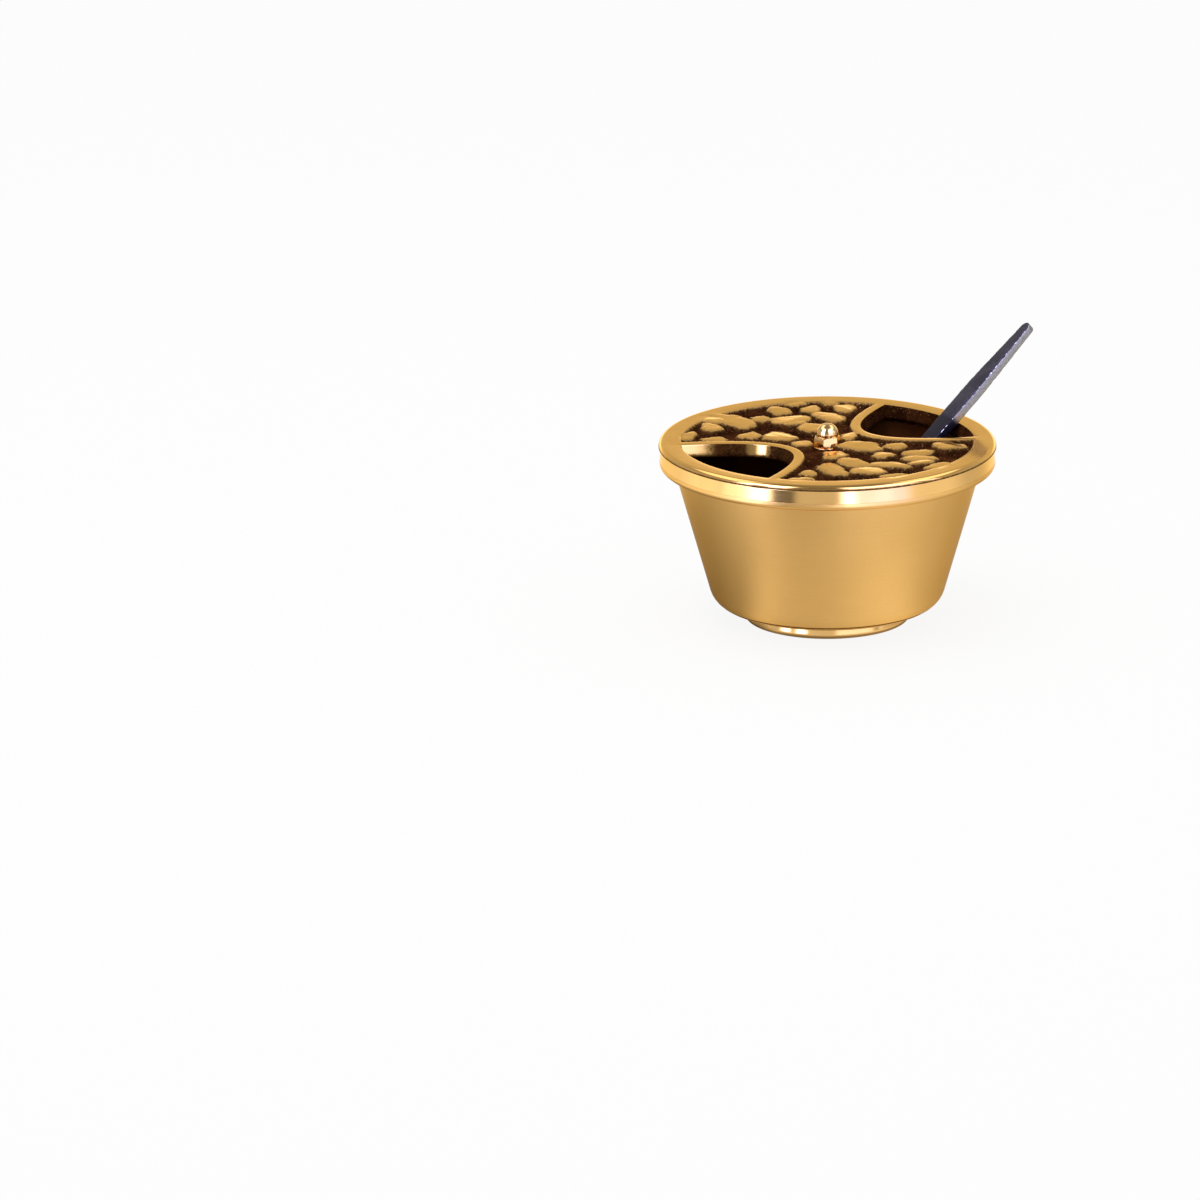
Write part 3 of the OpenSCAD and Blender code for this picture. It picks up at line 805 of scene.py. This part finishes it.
def white_table():
    """White to the camera but for the boat's soft shadow. Polished brass sees it glow with painted light,
    brighter towards the windows and with a painted shadow under the boat.
    """
    material = bpy.data.materials.new("white_table")
    material.use_nodes = True
    tree = material.node_tree
    tree.nodes.clear()
    start = Value(tree)
    x, y, z = start.node("ShaderNodeTexCoord", out="Object").parts()
    radius, bearing = start.maths("SQRT", x * x + y * y), bearing_of(x, y)
    in_metal, to_camera = metal_rays(tree)
    left = bearing.between(-71, -38, 4) * (0.25 + 0.75 * bearing.rise(-62, -42))
    right = bearing.between(10, 55, 5)
    painted_near_glow = (0.45 - 0.09 * bearing.rise(-170, -120) + 0.39 * bearing.rise(-100, -55)
            - 0.19 * bearing.rise(-48, -20) + 0.29 * bearing.rise(-8, 42)
            - 0.3 * bearing.rise(60, 122) - 0.1 * bearing.rise(125, 170))
    lift = (0.95 * bearing.rise(-66, -36) - 0.5 * bearing.rise(42, 80)
            - 0.45 * bearing.rise(115, 165) - 0.5) * (1 - 0.6 * radius.rise(0.045, 0.09))
    # Painted shadow: the glow that polished brass sees is darkened under and round the foot.
    painted_near_glow = painted_near_glow * (1 + lift) * (0.3 + 0.7 * radius.rise(0.0255, 0.0285))
    behind = 1 - bearing.between(-128, 128, 18)
    # Painted light: the far table's glow for reflections, with bright patches towards the windows.
    away = (1.1 + 0.1 * behind + 3.1 * left + 0.5 * right
            + 0.3 * bearing.between(-105, -72, 10) - 0.95 * bearing.between(-37, -21, 3)
            - 0.36 * bearing.between(-21, 9, 3) + 2.6 * bearing.between(9.5, 18, 1.5)
            + 0.3 * bearing.between(10, 44, 4) - 0.35 * bearing.between(95, 130, 12))
    far = radius.rise(0.09, 0.17)
    day = in_metal * far * start.maths("MAXIMUM", left, right)
    cloth = start.node("ShaderNodeBsdfDiffuse", {"Color": (0.82, 0.82, 0.82, 1)})
    strength = to_camera + in_metal * (painted_near_glow + far * (away - painted_near_glow))
    glow = start.node("ShaderNodeEmission", {"Color": day.blend((1, 1, 1), daylight).scaled(strength)})
    lit = 0.9 * to_camera + in_metal * (0.8 + 0.2 * far)
    mixed = start.node("ShaderNodeMixShader", {0: lit, 1: cloth, 2: glow})
    tree.links.new(mixed.socket, tree.nodes.new("ShaderNodeOutputMaterial").inputs["Surface"])
    return material


def pale_room():
    """Plain soft light on all sides. Shiny surfaces see the room: pale behind the boat and at the sides,
    dimmer in front, with a window to the left and a wider one to the right."""
    world = bpy.data.worlds.new("pale_room")
    world.use_nodes = True
    tree = world.node_tree
    tree.nodes.clear()
    start = Value(tree)
    x, y, z = start.node("ShaderNodeTexCoord", out="Generated").parts()
    bearing = bearing_of(x, y)
    in_metal, to_camera = metal_rays(tree)
    aside = 1 - bearing.between(-70, 68, 6)
    ahead = (1 - aside) * z.rise(0.12, 0.22) * (1 - z.rise(0.8, 0.95))
    shade = z.maths("MAXIMUM", ahead, aside * (0.35 + 0.65 * z.between(0.005, 0.13, 0.025)))
    shade = shade * bearing.between(-138, 130, 12)
    lintel = 1 - z.rise(0.78, 0.9)
    bars = 1 - bearing.between(-53, -43, 2) * (1 - z.rise(0.4, 0.6))
    left = bearing.between(-66, -29, 4) * lintel * bars
    right = bearing.between(13, 66, 5) + bearing.between(76, 83, 3)
    right = right * (0.4 + 0.6 * z.rise(0.2, 0.35)) * lintel
    over = (bearing.between(-155, -30, 5) + bearing.between(13, 150, 5)) * z.between(0.66, 0.9, 0.04)
    behind = 1.2 * (1 - bearing.between(-152, 152, 8)) * (1 - z.rise(0.06, 0.2))
    walls = (0.82 - 0.2 * z.rise(0.15, 0.6) - 0.3 * z.rise(0.7, 0.95)) * (1 - 0.6 * shade)
    room = walls + behind + 3.8 * left + 2.2 * right + 1.5 * over
    day = in_metal * start.maths("MAXIMUM", left, right)
    strength = to_camera + (1 - to_camera) * (0.65 + in_metal * (room - 0.65))
    light = start.node("ShaderNodeBackground", {"Color": day.blend((1, 1, 1), daylight).scaled(strength)})
    tree.links.new(light.socket, tree.nodes.new("ShaderNodeOutputWorld").inputs["Surface"])
    return world


floor.data.materials.append(white_table())
bpy.context.scene.world = pale_room()
lamp = bpy.data.lights.new("overhead_lamp", "AREA")
lamp.shape, lamp.size, lamp.energy = "DISK", 1.2, 12.0
overhead = bpy.data.objects.new("overhead_lamp", lamp)
overhead.location = (-0.2, -0.1, 1.6)
overhead.rotation_euler = (math.radians(-4), math.radians(-7), 0)
overhead.visible_glossy = False
bpy.context.scene.collection.objects.link(overhead)

# Camera: far off with a long lens, a little above the boat, with the boat right of the middle of the
# picture as in the photograph.
distance, rise = 3.622, math.radians(15.69)
lens = bpy.data.cameras.new("camera")
lens.lens, lens.sensor_width, lens.clip_end = 360, 36, 50
camera = bpy.data.objects.new("camera", lens)
bpy.context.scene.collection.objects.link(camera)
camera.location = (0, -distance * math.cos(rise), lid_top * mm + distance * math.sin(rise))
aim = Matrix.Rotation(math.radians(1.1314), 3, "Z") @ Matrix.Rotation(math.radians(90 - 16.4509), 3, "X")
camera.rotation_euler = (aim @ Matrix.Rotation(math.radians(-0.3), 3, "Z")).to_euler()
bpy.context.scene.camera = camera
bpy.context.scene.view_settings.view_transform = "Standard"

bpy.context.view_layer.update()
